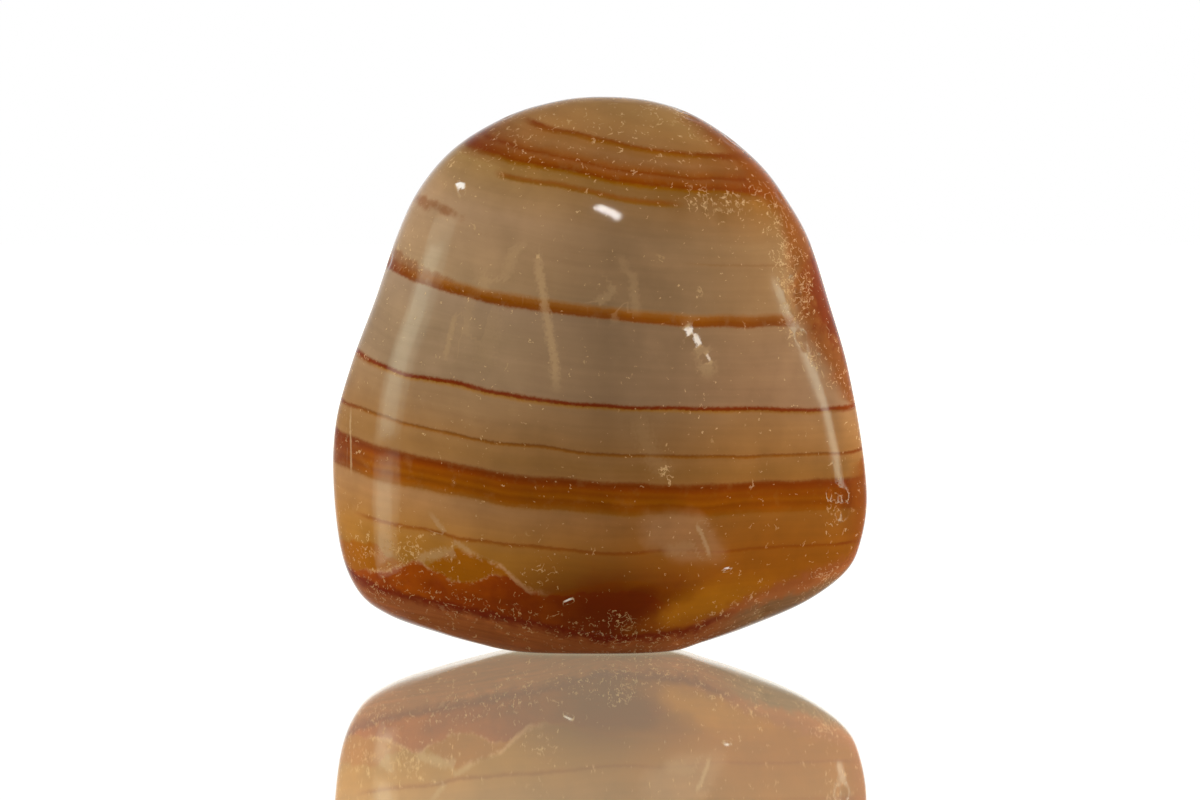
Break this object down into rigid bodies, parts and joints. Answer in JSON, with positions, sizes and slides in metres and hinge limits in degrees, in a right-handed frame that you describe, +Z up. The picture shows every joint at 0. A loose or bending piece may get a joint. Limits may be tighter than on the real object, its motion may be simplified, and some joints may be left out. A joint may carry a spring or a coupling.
{
  "type": "tumbled stone",
  "caption": "Polished tumbled sardonyx: a rounded, flattened pyramid of banded chalcedony that stands on its worn foot, for display or a mineral collection.",
  "frame": {"origin": "on the ground under the middle of the stone, at its worn foot", "axes": "+Z up towards the crown, +X towards the right edge seen from the front, -Y out of the broad banded face"},
  "size_m": [0.029, 0.0165, 0.03],
  "materials": {
    "sardonyx": "polished"
  },
  "bodies": {
    "root": {"sardonyx_stone": "sardonyx"}
  },
  "joints": []
}
